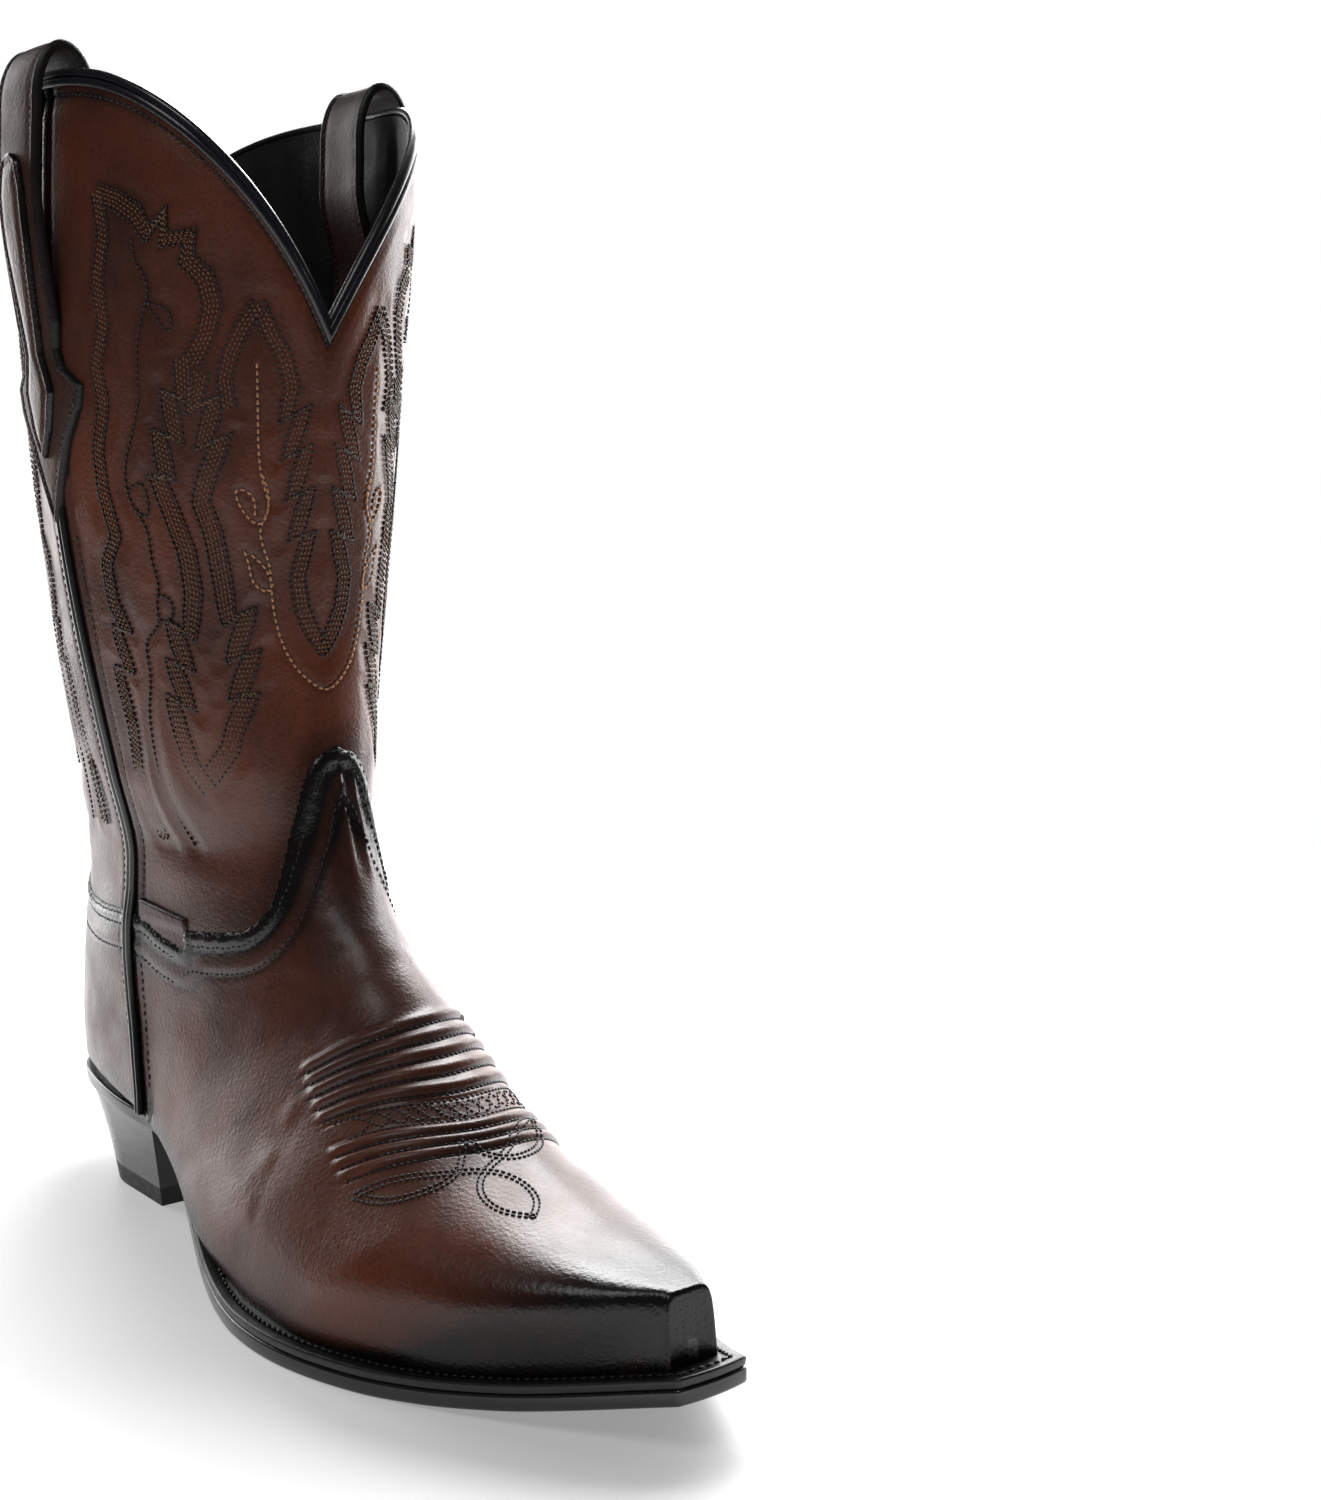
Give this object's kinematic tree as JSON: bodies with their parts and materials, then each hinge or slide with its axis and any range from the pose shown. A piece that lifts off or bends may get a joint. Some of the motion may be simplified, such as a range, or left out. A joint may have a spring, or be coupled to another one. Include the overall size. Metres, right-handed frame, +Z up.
{
  "type": "cowboy boot",
  "caption": "Western pull-on boot for the right foot with scalloped shaft, pull straps, snip toe and underslung stacked heel.",
  "frame": {"origin": "middle of the heel's tread, on the floor, under the straight-sided part of the heel", "axes": "+X towards the toe, +Y towards the inner (medial) side of the foot, +Z up the shaft"},
  "size_m": [0.3279, 0.1352, 0.3634],
  "materials": {
    "brown_leather": "polished, burnished dark at edges",
    "dark_leather": "polished dark brown",
    "black_leather": "smooth black piping and binding",
    "lining_leather": "matte black lining",
    "stiffener": "hidden fibre and leather board",
    "insole_leather": "natural vegetable-tanned leather",
    "sole_leather": "black edge-dressed sole leather",
    "heel_leather": "black-dressed stacked leather",
    "heel_rubber": "satin rubber",
    "cork": "hidden cork filler",
    "steel": "spring steel",
    "brass": "brass pins",
    "peg_wood": "lemonwood pegs"
  },
  "bodies": {
    "root": {"vamp": "brown_leather", "counter_cover": "brown_leather", "shaft_front": "brown_leather", "shaft_back": "brown_leather", "toe_puff": "stiffener", "vamp_interlining": "stiffener", "heel_counter": "stiffener", "vamp_lining": "lining_leather", "heel_lining": "lining_leather", "shaft_front_lining": "lining_leather", "shaft_back_lining": "lining_leather", "side_piping_lateral": "black_leather", "side_piping_medial": "black_leather", "top_binding_front": "black_leather", "top_binding_back": "black_leather", "pull_strap_lateral": "dark_leather", "pull_strap_medial": "dark_leather", "strap_overlay_lateral": "brown_leather", "strap_overlay_medial": "brown_leather", "label_tab": "dark_leather", "outsole": "sole_leather", "welt": "sole_leather", "heel_rand": "sole_leather", "cork_filler": "cork", "shank": "steel", "insole": "insole_leather", "sock_liner": "lining_leather", "heel_pad": "lining_leather", "heel_cap": "heel_rubber", "heel_lift_1": "heel_leather", "heel_lift_2": "heel_leather", "heel_lift_3": "heel_leather", "heel_lift_4": "heel_leather", "heel_nails": "brass", "cap_nails": "brass", "sole_pegs": "peg_wood"}
  },
  "joints": []
}
